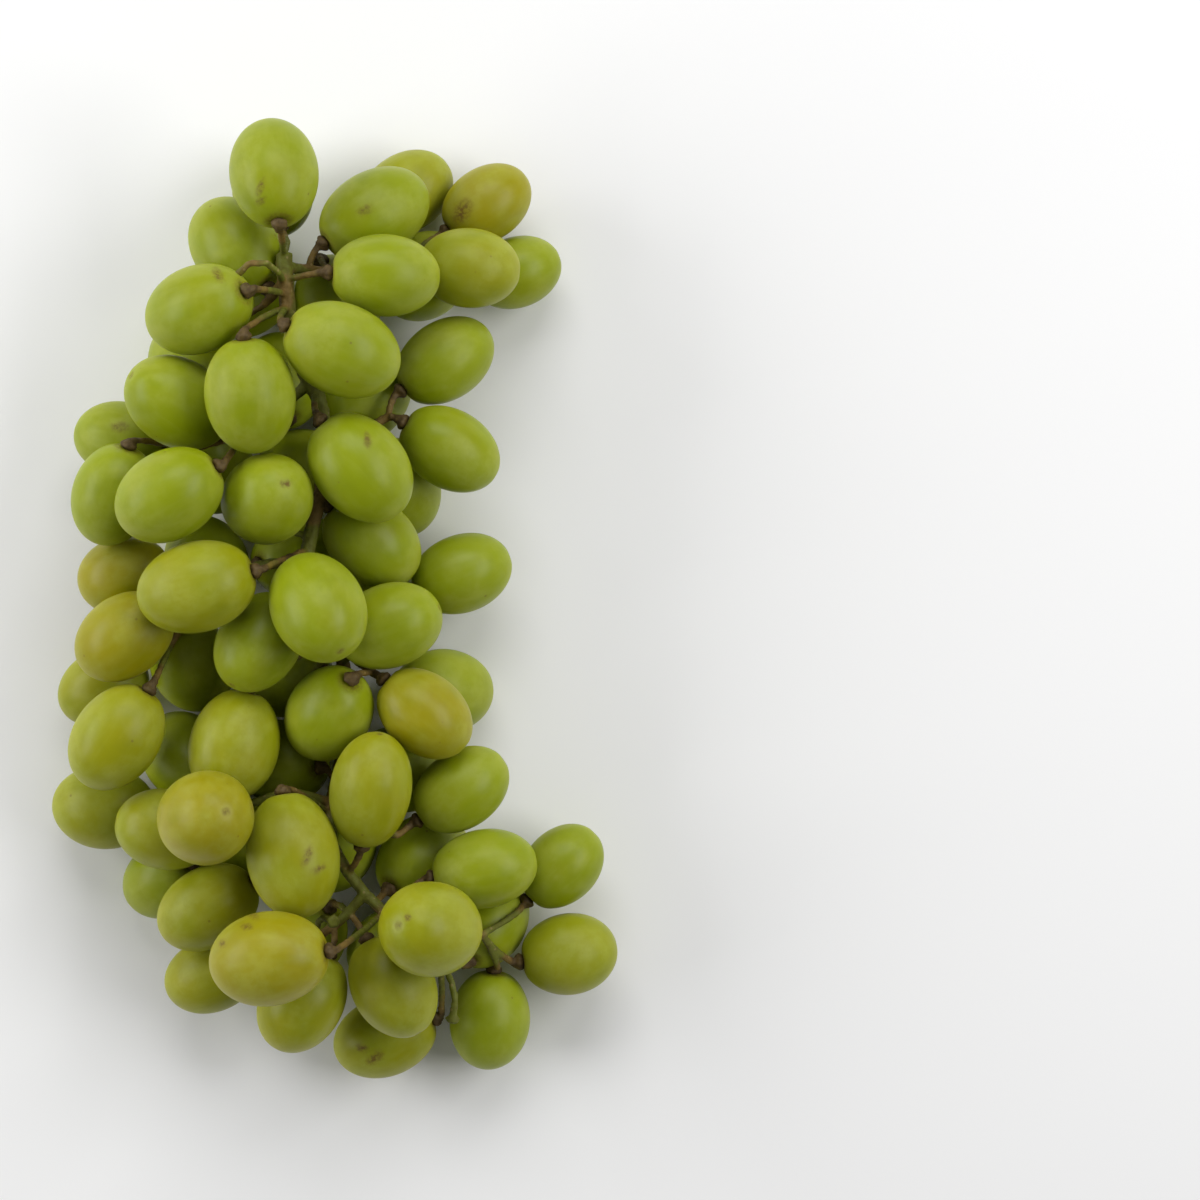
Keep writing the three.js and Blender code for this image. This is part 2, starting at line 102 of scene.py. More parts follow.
@dataclass
class Shell:
    """One closed grid surface: rings of points between two pole points."""

    start: np.ndarray
    rings: np.ndarray
    end: np.ndarray

    def points(self) -> np.ndarray:
        """All points: the start pole, the rings in order, and the end pole."""
        return np.concatenate([self.start[None], self.rings.reshape(-1, 3), self.end[None]])

    def faces(self) -> tuple[np.ndarray, np.ndarray]:
        """The faces, with outward order for rings that turn anticlockwise about the way along.

        Returns:
            The quads between rings, and the triangles at the two poles.
        """
        count, sides = self.rings.shape[:2]
        index = 1 + np.arange(count * sides).reshape(count, sides)
        ahead = np.roll(index, -1, axis=1)
        quads = np.stack([index[:-1], ahead[:-1], ahead[1:], index[1:]], axis=-1).reshape(-1, 4)
        last = 1 + count * sides
        low = np.stack([np.zeros(sides, int), ahead[0], index[0]], axis=-1)
        high = np.stack([np.full(sides, last), index[-1], ahead[-1]], axis=-1)
        return quads, np.concatenate([low, high])


def mesh_from_shells(name: str, shells: Sequence[Shell]) -> bpy.types.Object:
    """One object that holds closed grid surfaces, smooth shaded, linked to the scene.

    Args:
        name: the name of the piece.
        shells: the surfaces, whose points are in metres.

    Returns:
        The object, at the origin, unturned and unscaled.
    """
    points, quads, fans, offset = [], [], [], 0
    for shell in shells:
        four, three = shell.faces()
        points.append(shell.points())
        quads.append(four + offset)
        fans.append(three + offset)
        offset += len(points[-1])
    points, quads, fans = (np.concatenate(parts) for parts in (points, quads, fans))
    mesh = bpy.data.meshes.new(name)
    mesh.vertices.add(len(points))
    mesh.vertices.foreach_set("co", points.astype(np.float32).ravel())
    corners = np.concatenate([quads.ravel(), fans.ravel()])
    sizes = np.concatenate([np.full(len(quads), 4), np.full(len(fans), 3)])
    mesh.loops.add(len(corners))
    mesh.loops.foreach_set("vertex_index", corners.astype(np.int32))
    mesh.polygons.add(len(sizes))
    starts = np.concatenate([[0], np.cumsum(sizes)[:-1]])
    mesh.polygons.foreach_set("loop_start", starts.astype(np.int32))
    mesh.polygons.foreach_set("use_smooth", np.ones(len(sizes), bool))
    mesh.update(calc_edges=True)
    mesh.validate()
    piece = bpy.data.objects.new(name, mesh)
    bpy.context.scene.collection.objects.link(piece)
    return piece


def set_attribute(mesh: bpy.types.Mesh, name: str, values: np.ndarray) -> None:
    """Stores a number or a vector at each point of a mesh, for the materials.

    Args:
        mesh: the mesh.
        name: the attribute's name.
        values: one number, or one row of three, for each point.
    """
    kind, key = ("FLOAT", "value") if values.ndim == 1 else ("FLOAT_VECTOR", "vector")
    attribute = mesh.attributes.new(name, kind, "POINT")
    attribute.data.foreach_set(key, values.astype(np.float32).ravel())


def mesh_points(mesh: bpy.types.Mesh) -> np.ndarray:
    """The points of a mesh, one row each."""
    flat = np.empty(len(mesh.vertices) * 3, np.float32)
    mesh.vertices.foreach_get("co", flat)
    return flat.reshape(-1, 3).astype(float)


# ---- Ovals from the frame ----------------------------------------------------------------


@dataclass
class Oval:
    """An oval of revolution: its centre, the unit direction of its stem end, its half sizes."""

    centre: np.ndarray
    pole: np.ndarray
    along: float
    across: float

    @classmethod
    def fitted(cls, points: np.ndarray, group: np.ndarray, tries: int) -> "Oval":
        """The oval that most of some points lie on.

        Many small handfuls of the group's points each give a surface x'Ax + 2b'x = 1. Of those
        that are ovals of a berry's size, the one with the most of all points close to it wins,
        and least squares on those points gives the oval.

        Args:
            points: all points that may lie on the oval.
            group: the points to take handfuls from, as true or false for each.
            tries: how many handfuls to take.

        Returns:
            The oval, whose pole is at the end with the hollow, as the hollow's lowest point is
            one of the points.
        """
        mid = points[group].mean(axis=0)
        x, y, z = ((points - mid) / BERRY_SIZE).T
        terms = [x * x, y * y, z * z, 2 * x * y, 2 * x * z, 2 * y * z, 2 * x, 2 * y, 2 * z]
        terms = np.stack(terms, axis=1)
        order = np.random.default_rng(FIT_SEED).random((tries, group.sum())).argsort(axis=1)
        picks = order[:, :HANDFUL]
        found = np.linalg.pinv(terms[group][picks], rcond=1e-4).sum(axis=2)
        centres, forms = cls._centred(found)
        roots = np.linalg.eigvalsh(forms)
        offsets = np.stack([x, y, z], axis=1)[None] - centres[:, None]
        reach = np.sqrt(np.abs(np.einsum("tpi,tij,tpj->tp", offsets, forms, offsets)))
        votes = (np.abs(reach - 1.0) < CLOSE).sum(axis=1)
        votes = votes * ((roots > ROOTS[0]) & (roots < ROOTS[1])).all(axis=1)
        chosen = np.abs(reach[votes.argmax()] - 1.0) < CLOSE
        best = np.linalg.lstsq(terms[chosen], np.ones(chosen.sum()), rcond=None)[0]
        centres, forms = cls._centred(best[None])
        centre = centres[0] * BERRY_SIZE + mid
        roots, axes = np.linalg.eigh(forms[0])
        half, pole = BERRY_SIZE / np.sqrt(roots), axes[:, 0]
        floor = half[0] * HOLLOW_SHARE - HOLLOW_DEPTH
        misfits = [
            np.linalg.norm(points - centre - side * floor * pole, axis=1).min()
            + np.linalg.norm(points - centre + side * half[0] * pole, axis=1).min()
            for side in (1, -1)
        ]
        if misfits[1] < misfits[0]:
            pole = -pole
        return cls(centre, pole, half[0], float(np.mean(half[1:])))

    @staticmethod
    def _centred(found: np.ndarray) -> tuple[np.ndarray, np.ndarray]:
        """The centre c and the form F of surfaces, so that each is (x - c)'F(x - c) = 1.

        Args:
            found: per surface, the six parts of A and the three parts of b.

        Returns:
            The centres and the forms.
        """
        forms = found[:, [[0, 3, 4], [3, 1, 5], [4, 5, 2]]]
        centres = -np.einsum("tij,tj->ti", np.linalg.pinv(forms), found[:, 6:9])
        scale = 1.0 + np.einsum("ti,tij,tj->t", centres, forms, centres)
        return centres, forms / scale[:, None, None]

    def seat(self) -> np.ndarray:
        """The place on the surface where the berry hangs on its cap."""
        return self.centre + self.pole * self.along


def unique_points(mesh: bpy.types.Mesh) -> np.ndarray:
    """The points of a mesh of loose triangles, each place once."""
    return np.unique(np.round(mesh_points(mesh), 6), axis=0)


def grouped(points: np.ndarray, middles: np.ndarray) -> np.ndarray:
    """The number of the middle that each point is nearest to.

    Args:
        points: the points.
        middles: the middles of the groups.

    Returns:
        One group number for each point.
    """
    return np.linalg.norm(points[:, None] - middles[None], axis=2).argmin(axis=1)


# ---- Shader node groups ------------------------------------------------------------------


class Nodes:
    """A node tree that is being filled: makes nodes, sets their inputs and links them."""

    def __init__(self, tree: bpy.types.NodeTree) -> None:
        """Takes the tree to fill."""
        self.tree = tree

    def add(self, kind: str, inputs: dict | None = None, **settings: object) -> bpy.types.Node:
        """Adds a node.

        Args:
            kind: the node's type name, without its ShaderNode beginning.
            inputs: for each input, by name or number, a value or the output that feeds it.
            settings: the node's own settings.

        Returns:
            The node.
        """
        node = self.tree.nodes.new(kind if kind.startswith("NodeGroup") else "ShaderNode" + kind)
        for key, value in settings.items():
            setattr(node, key, value)
        for key, value in (inputs or {}).items():
            if isinstance(value, bpy.types.NodeSocket):
                self.tree.links.new(value, node.inputs[key])
            else:
                node.inputs[key].default_value = value
        return node

    def math(self, operation: str, *values: object) -> bpy.types.NodeSocket:
        """The outcome of a sum on numbers or outputs."""
        return self.add("Math", dict(enumerate(values)), operation=operation).outputs[0]

    def ramp(self, value: object, low: float, high: float) -> bpy.types.NodeSocket:
        """0 below low, 1 above high, and a soft rise between them."""
        inputs = {"Value": value, "From Min": low, "From Max": high}
        node = self.add("MapRange", inputs, interpolation_type="SMOOTHSTEP")
        return node.outputs["Result"]

    def mix(self, share: object, first: object, second: object) -> bpy.types.NodeSocket:
        """A blend from the first colour to the second."""
        inputs = {0: share, 6: first, 7: second}
        return self.add("Mix", inputs, data_type="RGBA", clamp_factor=True).outputs[2]

    def noise(self, place: object, scale: float, detail: float = 3.0, rough: float = 0.5
              ) -> bpy.types.NodeSocket:
        """Smooth noise, 0 to 1."""
        inputs = {"Vector": place, "Scale": scale, "Detail": detail, "Roughness": rough}
        return self.add("TexNoise", inputs).outputs["Fac"]

    def stretched(self, place: object, scale: tuple[float, float, float]
                  ) -> bpy.types.NodeSocket:
        """A place with each of its parts scaled."""
        return self.add("Mapping", {"Vector": place, "Scale": scale}).outputs[0]

    def group(self, tree: bpy.types.NodeTree, inputs: dict) -> bpy.types.Node:
        """Places a node group.

        Args:
            tree: the group's own tree.
            inputs: its inputs by name.

        Returns:
            The group's node.
        """
        node = self.tree.nodes.new("ShaderNodeGroup")
        node.node_tree = tree
        for key, value in inputs.items():
            if isinstance(value, bpy.types.NodeSocket):
                self.tree.links.new(value, node.inputs[key])
            else:
                node.inputs[key].default_value = value
        return node


def new_group(name: str, inputs: dict[str, object], outputs: Iterable[str]
              ) -> tuple[Nodes, bpy.types.Node, bpy.types.Node]:
    """A shader node group with named sockets.

    Args:
        name: the group's name.
        inputs: for each input its first value: a number, or None for a place.
        outputs: the names of its outputs, which are all numbers.

    Returns:
        The group's nodes, its input node and its output node.
    """
    tree = bpy.data.node_groups.new(name, "ShaderNodeTree")
    for key, value in inputs.items():
        kind = "NodeSocketVector" if value is None else "NodeSocketFloat"
        made = tree.interface.new_socket(key, in_out="INPUT", socket_type=kind)
        if value is not None:
            made.default_value = value
    for key in outputs:
        tree.interface.new_socket(key, in_out="OUTPUT", socket_type="NodeSocketFloat")
    nodes = Nodes(tree)
    return nodes, nodes.add("NodeGroupInput"), nodes.add("NodeGroupOutput")


@dataclass
class SurfaceEffects:
    """The node groups that more than one finish uses, each built once."""

    bloom: bpy.types.NodeTree = field(init=False)
    streaks: bpy.types.NodeTree = field(init=False)
    speckle: bpy.types.NodeTree = field(init=False)

    def __post_init__(self) -> None:
        """Builds the groups."""
        self.bloom = self._bloom()
        self.streaks = self._streaks()
        self.speckle = self._speckle()

    @staticmethod
    def _bloom() -> bpy.types.NodeTree:
        """The pale wax on a skin: wide clouds, with finer rubbed places taken out of them."""
        nodes, given, made = new_group(
            "waxy_bloom", {"Place": None, "Amount": 1.0}, ["Mask"]
        )
        place = given.outputs["Place"]
        clouds = nodes.ramp(nodes.noise(place, 0.11, 3.0, 0.55), 0.36, 0.68)
        rubbed = nodes.ramp(nodes.noise(place, 0.45, 4.0, 0.6), 0.34, 0.6)
        mask = nodes.math("MULTIPLY", clouds, nodes.math("MULTIPLY_ADD", rubbed, 0.6, 0.4))
        mask = nodes.math("MULTIPLY", mask, given.outputs["Amount"])
        nodes.tree.links.new(mask, made.inputs["Mask"])
        return nodes.tree

    @staticmethod
    def _streaks() -> bpy.types.NodeTree:
        """Fine veins that run from end to end: noise on a place that is squashed lengthways."""
        nodes, given, made = new_group("long_streaks", {"Place": None, "Scale": 1.0}, ["Mask"])
        squashed = nodes.stretched(given.outputs["Place"], (1.0, 1.0, 0.16))
        inputs = {"Vector": squashed, "Scale": given.outputs["Scale"], "Detail": 3.0}
        noise = nodes.add("TexNoise", inputs).outputs["Fac"]
        nodes.tree.links.new(nodes.ramp(noise, 0.42, 0.7), made.inputs["Mask"])
        return nodes.tree

    @staticmethod
    def _speckle() -> bpy.types.NodeTree:
        """Small scattered dots: near to the middles of cells, in some of the cells only."""
        nodes, given, made = new_group(
            "speckle", {"Place": None, "Scale": 1.0, "Size": 0.2, "Share": 0.3}, ["Mask"]
        )
        inputs = {"Vector": given.outputs["Place"], "Scale": given.outputs["Scale"]}
        cells = nodes.add("TexVoronoi", inputs)
        near = nodes.math("SUBTRACT", given.outputs["Size"], cells.outputs["Distance"])
        dot = nodes.ramp(near, 0.0, 0.08)
        tone = nodes.add("SeparateColor", {"Color": cells.outputs["Color"]}).outputs[0]
        kept = nodes.math("LESS_THAN", tone, given.outputs["Share"])
        nodes.tree.links.new(nodes.math("MULTIPLY", dot, kept), made.inputs["Mask"])
        return nodes.tree


# ---- Finishes ----------------------------------------------------------------------------

Colour = tuple[float, float, float, float]


class Ripeness(Enum):
    """How far a berry has turned from green to golden."""

    GREEN = 0.0
    OLIVE = 0.5
    AMBER = 1.0


@dataclass(frozen=True)
class GrapeSkin:
    """The thin, translucent, waxy skin of a berry over its clear flesh."""

    green: Colour = (0.270, 0.325, 0.004, 1.0)
    amber: Colour = (0.325, 0.290, 0.004, 1.0)
    shade: Colour = (0.165, 0.215, 0.001, 1.0)
    wax: Colour = (0.46, 0.48, 0.10, 1.0)
    scar: Colour = (0.15, 0.085, 0.015, 1.0)
    roughness: float = 0.36
    wax_roughness: float = 0.16
    mark_roughness: float = 0.2
    flesh_depth: float = 3.2 * MM
    turned_share: float = 0.3  # how far patches of a berry differ in ripeness
    streak_share: float = 0.10
    deep_share: float = 0.2
    bloom_share: float = 0.3
    dot_share: float = 0.5
    bump: float = 0.06

    def material(self, effects: SurfaceEffects) -> bpy.types.Material:
        """The skin's material, which reads the berry's own place, tone and scar attributes.

        Args:
            effects: the shared node groups.

        Returns:
            The material.
        """
        material = bpy.data.materials.new("grape_skin")
        material.use_nodes = True
        material.node_tree.nodes.clear()
        nodes = Nodes(material.node_tree)
        local = nodes.add("Attribute", attribute_name="berry_place").outputs["Vector"]
        tone = nodes.add("Attribute", attribute_name="ripeness").outputs["Fac"]
        scar = nodes.add("Attribute", attribute_name="scar").outputs["Fac"]
        patches = nodes.noise(local, 0.07, 2.0, 0.5)
        turned = nodes.ramp(patches, 0.3, 0.7)
        half = -self.turned_share / 2.0
        turned = nodes.math("MULTIPLY_ADD", turned, self.turned_share, half)
        colour = nodes.mix(nodes.math("ADD", tone, turned), self.green, self.amber)
        streaks = nodes.group(effects.streaks, {"Place": local, "Scale": 0.55}).outputs[0]
        colour = nodes.mix(nodes.math("MULTIPLY", streaks, self.streak_share), colour, self.wax)
        deep = nodes.ramp(nodes.noise(local, 0.16, 3.0, 0.5), 0.45, 0.75)
        colour = nodes.mix(nodes.math("MULTIPLY", deep, self.deep_share), colour, self.shade)
        bloom = nodes.group(effects.bloom, {"Place": local, "Amount": 1.0}).outputs[0]
        colour = nodes.mix(nodes.math("MULTIPLY", bloom, self.bloom_share), colour, self.wax)
        dots = nodes.group(
            effects.speckle, {"Place": local, "Scale": 0.3, "Size": 0.12, "Share": 0.16}
        ).outputs[0]
        torn = nodes.ramp(nodes.noise(local, 1.3, 3.0, 0.6), 0.35, 0.6)
        scar = nodes.math("MULTIPLY", scar, nodes.math("MULTIPLY_ADD", torn, 0.7, 0.3))
        marks = nodes.math("MAXIMUM", scar, nodes.math("MULTIPLY", dots, self.dot_share))
        colour = nodes.mix(marks, colour, self.scar)
        rough = nodes.math("MULTIPLY_ADD", bloom, self.wax_roughness, self.roughness)
        rough = nodes.math("MULTIPLY_ADD", marks, self.mark_roughness, rough)
        grain = nodes.noise(local, 1.6, 2.0, 0.5)
        height = nodes.math("MULTIPLY_ADD", nodes.noise(local, 0.22, 2.0, 0.4), 6.0, grain)
        bump = nodes.add("Bump", {"Strength": self.bump, "Distance": 0.3 * MM, "Height": height})
        shader = nodes.add(
            "BsdfPrincipled",
            {
                "Base Color": colour,
                "Roughness": rough,
                "Normal": bump.outputs[0],
                "IOR": 1.38,
                "Specular IOR Level": 0.4,
                "Subsurface Weight": 1.0,
                "Subsurface Radius": (1.0, 0.95, 0.25),
                "Subsurface Scale": self.flesh_depth,
            },
        )
        nodes.add("OutputMaterial", {"Surface": shader.outputs[0]})
        return material


@dataclass(frozen=True)
class StemBark:
    """The stem's skin: green away from its caps, and tan and brown towards them."""

    green: Colour = (0.135, 0.150, 0.006, 1.0)
    tan: Colour = (0.185, 0.115, 0.018, 1.0)
    brown: Colour = (0.060, 0.034, 0.007, 1.0)
    pale: Colour = (0.34, 0.25, 0.10, 1.0)
    roughness: float = 0.62
    fine_roughness: float = 0.2
    fine_share: float = 0.4
    dot_share: float = 0.45
    bump: float = 0.5

    def material(self, effects: SurfaceEffects) -> bpy.types.Material:
        """The bark's material, which reads how near a point is to a cap, and how far from one.

        Args:
            effects: the shared node groups.

        Returns:
            The material.
        """
        material = bpy.data.materials.new("stem_bark")
        material.use_nodes = True
        material.node_tree.nodes.clear()
        nodes = Nodes(material.node_tree)
        place = nodes.add("TexCoord").outputs["Object"]
        cap = nodes.add("Attribute", attribute_name="cap").outputs["Fac"]
        far = nodes.add("Attribute", attribute_name="thickness").outputs["Fac"]
        clouds = nodes.ramp(nodes.noise(place, 90.0, 4.0, 0.6), 0.35, 0.68)
        fine = nodes.ramp(nodes.noise(place, 700.0, 4.0, 0.65), 0.35, 0.7)
        young = nodes.math("SUBTRACT", nodes.math("MULTIPLY_ADD", far, 1.3, 0.25), clouds)
        colour = nodes.mix(nodes.ramp(young, 0.0, 0.6), self.tan, self.green)
        colour = nodes.mix(nodes.math("MULTIPLY", fine, self.fine_share), colour, self.brown)
        dots = nodes.group(
            effects.speckle, {"Place": place, "Scale": 900.0, "Size": 0.3, "Share": 0.35}
        ).outputs[0]
        colour = nodes.mix(nodes.math("MULTIPLY", dots, self.dot_share), colour, self.pale)
        warts = nodes.math("MULTIPLY", cap, nodes.math("MULTIPLY_ADD", fine, 0.35, 0.65))
        colour = nodes.mix(warts, colour, self.brown)
        height = nodes.math("MULTIPLY_ADD", fine, 0.5, nodes.noise(place, 2200.0, 3.0, 0.6))
        bump = nodes.add("Bump", {"Strength": self.bump, "Distance": 0.2 * MM, "Height": height})
        rough = nodes.math("MULTIPLY_ADD", fine, self.fine_roughness, self.roughness)
        shader = nodes.add(
            "BsdfPrincipled",
            {"Base Color": colour, "Roughness": rough, "Normal": bump.outputs[0]},
        )
        nodes.add("OutputMaterial", {"Surface": shader.outputs[0]})
        return material


@dataclass(frozen=True)
class PaleSweep:
    """The plain, matt floor of the studio."""

    colour: Colour = (0.88, 0.88, 0.88, 1.0)
    roughness: float = 0.9

    def material(self) -> bpy.types.Material:
        """The floor's material."""
        material = bpy.data.materials.new("pale_sweep")
        material.use_nodes = True
        shader = material.node_tree.nodes["Principled BSDF"]
        shader.inputs["Base Color"].default_value = self.colour
        shader.inputs["Roughness"].default_value = self.roughness
        return material


# ---- Berries -----------------------------------------------------------------------------


@dataclass
class Berry:
    """One grape: an oval with a dent at its stem end and a small scar at its blossom end."""

    oval: Oval
    ripeness: float
    seed: int
    sides: int = 64
    count: int = 52
    dent_depth: float = 0.75 * MM
    dent_width: float = 2.3 * MM
    scar_width: float = 0.9 * MM
    scar_height: float = 0.18 * MM
    fullness: float = 0.996  # which leaves room for the waves
    egg: tuple[float, float] = (-0.006, 0.02)
    waves: tuple[tuple[float, float, float], ...] = (
        (2.0, 0.0, 0.006), (3.0, 0.0, 0.004), (5.0, 2.0, 0.003),
    )
    blossom_edge: tuple[float, float] = (0.3 * MM, 0.9 * MM)
    blossom_brown: float = 0.8
    ring_edge: tuple[float, float] = (2.0 * MM, 3.4 * MM)
    ring_brown: float = 0.55
    spread: float = 400.0  # how far apart berries are in the patterns, in millimetres

    def shell(self) -> Shell:
        """The surface of the berry.

        For the angle t from the blossom end and the turn u, the distance from the axis is
        across·sin t·(fullness + egg·cos t + Σ h·sin(m·u + n·t + phase)), summed over the waves
        (m, n, h). The height on the axis is -along·cos t, less a bell-shaped dent at each end.
        Nothing goes below the floor, where it lies flat.

        Returns:
            The closed surface.
        """
        rng = np.random.default_rng(self.seed)
        egg, phases = rng.uniform(*self.egg), rng.uniform(0.0, 2.0 * math.pi, 3)
        first, second = across_axes(self.oval.pole)
        angle = (np.arange(self.count) + 1.0)[:, None] / (self.count + 1.0) * math.pi
        turn = np.arange(self.sides)[None] / self.sides * 2.0 * math.pi
        waves = sum(
            high * np.sin(turns * turn + climbs * angle + phase)
            for (turns, climbs, high), phase in zip(self.waves, phases)
        )
        swell = self.fullness + egg * np.cos(angle) + waves
        radius = self.oval.across * np.sin(angle) * swell
        height = -self.oval.along * np.cos(angle)
        stem_end = np.where(angle > math.pi / 2.0, 1.0, 0.0)
        height = height - stem_end * self.dent_depth * np.exp(-((radius / self.dent_width) ** 2))
        scar = self.scar_height * np.exp(-((radius / self.scar_width) ** 2))
        height = height + (1.0 - stem_end) * scar
        rings = (
            self.oval.centre
            + (radius * np.cos(turn))[..., None] * first
            + (radius * np.sin(turn))[..., None] * second
            + (height * np.ones_like(turn))[..., None] * self.oval.pole
        )
        ends = self.oval.along * np.array([-1.0, 1.0])
        ends = ends + np.array([self.scar_height, -self.dent_depth])
        start, end = (self.oval.centre + reach * self.oval.pole for reach in ends)
        rings[..., 2] = np.maximum(rings[..., 2], 0.0)
        return Shell(start, rings, end)

    def places(self, points: np.ndarray) -> np.ndarray:
        """The points in the berry's own axes, in millimetres, moved by the berry's own shift.

        Args:
            points: points in the frame.

        Returns:
            The places, whose third part runs along the berry towards its stem end.
        """
        first, second = across_axes(self.oval.pole)
        axes = np.stack([first, second, self.oval.pole], axis=1)
        shift = np.random.default_rng(self.seed + 1000).uniform(-self.spread, self.spread, 3)
        return (points - self.oval.centre) @ axes / MM + shift

    def scars(self, points: np.ndarray) -> np.ndarray:
        """How brown each point is: the blossom scar, and a thin ring where the cap sat.

        Args:
            points: points in the frame.

        Returns:
            0 to 1 for each point.
        """
        offset = points - self.oval.centre
        height = offset @ self.oval.pole
        radius = np.linalg.norm(offset - height[:, None] * self.oval.pole, axis=1)
        blossom = (height < 0.0) * (1.0 - smoothstep(*self.blossom_edge, radius))
        ring = (height > 0.0) * (1.0 - smoothstep(*self.ring_edge, radius))
        return np.maximum(blossom * self.blossom_brown, ring * self.ring_brown)


@dataclass(frozen=True)
class Scuff:
    """A brown, healed scratch or rub on the upper side of one berry.

    Its place is x and y in the frame, its length and width are in millimetres, and its turn
    is in degrees from +X.
    """

    node: str
    x: float
    y: float
    length: float
    width: float
    turn: float

    def depth(self, points: np.ndarray) -> np.ndarray:
        """How brown the scuff makes each point: 1 - d², where d is 1 at the edge of its oval.

        Args:
            points: points of the berry in the frame.

        Returns:
            0 to 1 for each point.
        """
        turn = math.radians(self.turn)
        ahead = np.array([math.cos(turn), math.sin(turn)])
        aside = np.array([-math.sin(turn), math.cos(turn)])
        offset = points[:, :2] / MM - np.array([self.x, self.y])
        reach = np.hypot(offset @ ahead / self.length, offset @ aside / self.width)
        above = points[:, 2] > points[:, 2].mean()
        return above * np.clip(1.0 - reach**2, 0.0, 1.0)


@dataclass
class BerryPiece:
    """The berries of one node of the frame, as one piece."""

    node: str
    berries: list[Berry]
    scuffs: list[Scuff]

    def build(self, skin: bpy.types.Material) -> bpy.types.Object:
        """Makes the piece, dresses it and puts it in place of its node.

        Args:
            skin: the grape skin's material.

        Returns:
            The piece.
        """
        shells = [berry.shell() for berry in self.berries]
        piece = mesh_from_shells("grapes_" + self.node, shells)
        points = [shell.points() for shell in shells]
        pairs = list(zip(self.berries, points))
        mesh = piece.data
        set_attribute(mesh, "berry_place", np.concatenate([b.places(p) for b, p in pairs]))
        scars = np.concatenate([b.scars(p) for b, p in pairs])
        for scuff in self.scuffs:
            scars = np.maximum(scars, scuff.depth(np.concatenate(points)))
        set_attribute(mesh, "scar", scars)
        tones = [np.full(len(p), b.ripeness) for b, p in pairs]
        set_attribute(mesh, "ripeness", np.concatenate(tones))
        mesh.materials.append(skin)
        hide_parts(self.node)
        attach(piece, "root")
        return piece


